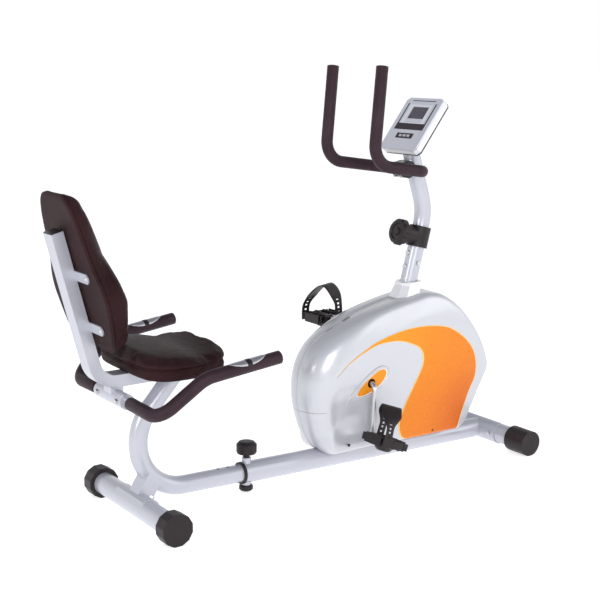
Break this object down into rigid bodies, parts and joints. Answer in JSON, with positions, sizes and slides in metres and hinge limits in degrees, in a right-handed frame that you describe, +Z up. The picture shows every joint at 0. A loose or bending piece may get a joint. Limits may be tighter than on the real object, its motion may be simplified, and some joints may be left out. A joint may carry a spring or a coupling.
{
  "type": "recumbent exercise bike",
  "caption": "Recumbent exercise bike: sliding padded seat with backrest and side grips on a low tube frame, enclosed belt drive with pedals, bent post with handlebar, tension dial and console.",
  "frame": {"origin": "on the floor under the middle of the bike's bounding box", "axes": "+X forward from the seat to the pedals, +Y to the rider's left, +Z up"},
  "size_m": [1.4838, 0.5878, 1.1737],
  "materials": {
    "frame_paint": "light silver-grey gloss powder coat",
    "bright_steel": "bright plated steel",
    "machined_steel": "turned bearing steel",
    "cast_rim": "turned cast iron",
    "zinc_bolts": "zinc plated",
    "black_plastic": "fine moulded texture",
    "silver_shell": "silver gloss moulding",
    "orange_panel": "orange gloss",
    "board_green": "circuit board",
    "clear_lens": "clear tinted window",
    "key_light": "light grey keys",
    "foam": "closed-cell foam",
    "vinyl": "dark brown-black grained vinyl",
    "belt_rubber": "ribbed belt"
  },
  "bodies": {
    "base": {"main_tube": "frame_paint", "tube_bushing": "black_plastic", "frame_post": "frame_paint", "crank_support": "frame_paint", "crank_bearings": "machined_steel", "flywheel_fork": "frame_paint", "flywheel_axle": "machined_steel", "front_saddle": "frame_paint", "front_stabilizer": "frame_paint", "front_end_caps": "black_plastic", "frame_bolts": "zinc_bolts", "shroud_right": "silver_shell", "shroud_left": "silver_shell", "side_panels": "orange_panel", "crank_covers": "orange_panel", "shroud_screws": "zinc_bolts", "post_collar": "silver_shell", "upper_post": "frame_paint", "tension_housing": "black_plastic", "tension_cable": "black_plastic", "speed_sensor": "black_plastic", "return_spring": "machined_steel", "drive_belt": "belt_rubber", "handlebar_clamp": "black_plastic", "console_case": "silver_shell", "console_face": "silver_shell", "console_lens": "clear_lens", "console_board": "board_green"},
    "seat_carriage": {"seat_tube": "frame_paint", "rear_saddle": "frame_paint", "rear_stabilizer": "frame_paint", "rear_end_caps": "black_plastic", "back_frame": "frame_paint", "backrest_brackets": "frame_paint", "backrest_cushion": "vinyl", "seat_pan": "frame_paint", "seat_cushion": "vinyl", "pulse_bracket": "frame_paint", "pulse_bar": "bright_steel", "pulse_grips": "foam", "pulse_sensors": "bright_steel", "seat_bolts": "zinc_bolts", "cushion_screws": "zinc_bolts"},
    "crank": {"crankshaft": "bright_steel", "drive_pulley": "black_plastic", "pedal_spindles": "machined_steel"},
    "right_pedal": {"pedal_right": "black_plastic", "pedal_strap_right": "black_plastic"},
    "left_pedal": {"pedal_left": "black_plastic", "pedal_strap_left": "black_plastic"},
    "flywheel_rotor": {"flywheel": "cast_rim"},
    "magnet_carrier": {"magnet_arm": "zinc_bolts"},
    "tension_dial": {"tension_knob": "black_plastic"},
    "handlebars": {"handlebar": "bright_steel", "handlebar_grips": "foam"},
    "pull_knob": {"adjust_knob": "black_plastic"},
    "clamp_knob": {"lock_knob": "black_plastic"},
    "button_right": {"console_button_3": "key_light"},
    "button_middle": {"console_button_2": "key_light"},
    "button_left": {"console_button_1": "key_light"}
  },
  "joints": [
    {"name": "seat_slide", "type": "slide", "parent": "base", "child": "seat_carriage", "axis": [0.9997, 0, -0.0256], "range_m": [-0.124, 0.093]},
    {"name": "crank_spin", "type": "hinge", "parent": "base", "child": "crank", "pos_m": [0.1923, 0, 0.278], "axis": [0, 1, 0], "continuous": true},
    {"name": "right_pedal_spin", "type": "hinge", "parent": "crank", "child": "right_pedal", "pos_m": [0.17714, -0.17, 0.12877], "axis": [0, 1, 0], "continuous": true},
    {"name": "left_pedal_spin", "type": "hinge", "parent": "crank", "child": "left_pedal", "pos_m": [0.20746, 0.17, 0.42723], "axis": [0, 1, 0], "continuous": true},
    {"name": "flywheel_spin", "type": "hinge", "parent": "base", "child": "flywheel_rotor", "pos_m": [0.4603, 0, 0.225], "axis": [0, 1, 0], "continuous": true},
    {"name": "tension_turn", "type": "hinge", "parent": "base", "child": "tension_dial", "pos_m": [0.37192, 0, 0.68961], "axis": [-0.9655, 0, 0.2605], "range_deg": [0, 300]},
    {"name": "magnet_swing", "type": "hinge", "parent": "base", "child": "magnet_carrier", "pos_m": [0.38267, 0, 0.32802], "axis": [0, 1, 0], "range_deg": [0, 2.5], "deforming": ["return_spring"]},
    {"name": "handlebar_tilt", "type": "hinge", "parent": "base", "child": "handlebars", "pos_m": [0.3673, 0, 0.877], "axis": [0, 1, 0], "range_deg": [-15, 25]},
    {"name": "pin_pull", "type": "slide", "parent": "base", "child": "pull_knob", "axis": [0.0256, 0, 0.9997], "range_m": [0, 0.01], "stiffness_N_per_m": 1000, "springref_m": -0.004},
    {"name": "clamp_turn", "type": "hinge", "parent": "base", "child": "clamp_knob", "pos_m": [-0.1807, 0, 0.06064], "axis": [-0.0256, 0, -0.9997], "range_deg": [0, 360]},
    {"name": "button_right_press", "type": "slide", "parent": "base", "child": "button_right", "axis": [0.7923, 0, -0.6101], "range_m": [0, 0.0015], "stiffness_N_per_m": 800, "springref_m": -0.001},
    {"name": "button_middle_press", "type": "slide", "parent": "base", "child": "button_middle", "axis": [0.7923, 0, -0.6101], "range_m": [0, 0.0015], "stiffness_N_per_m": 800, "springref_m": -0.001},
    {"name": "button_left_press", "type": "slide", "parent": "base", "child": "button_left", "axis": [0.7923, 0, -0.6101], "range_m": [0, 0.0015], "stiffness_N_per_m": 800, "springref_m": -0.001}
  ],
  "couplings": [
    {"joint": "flywheel_spin", "follows": "crank_spin", "ratio": 5.4545},
    {"joint": "magnet_swing", "follows": "tension_turn", "ratio": 0.0083333}
  ]
}
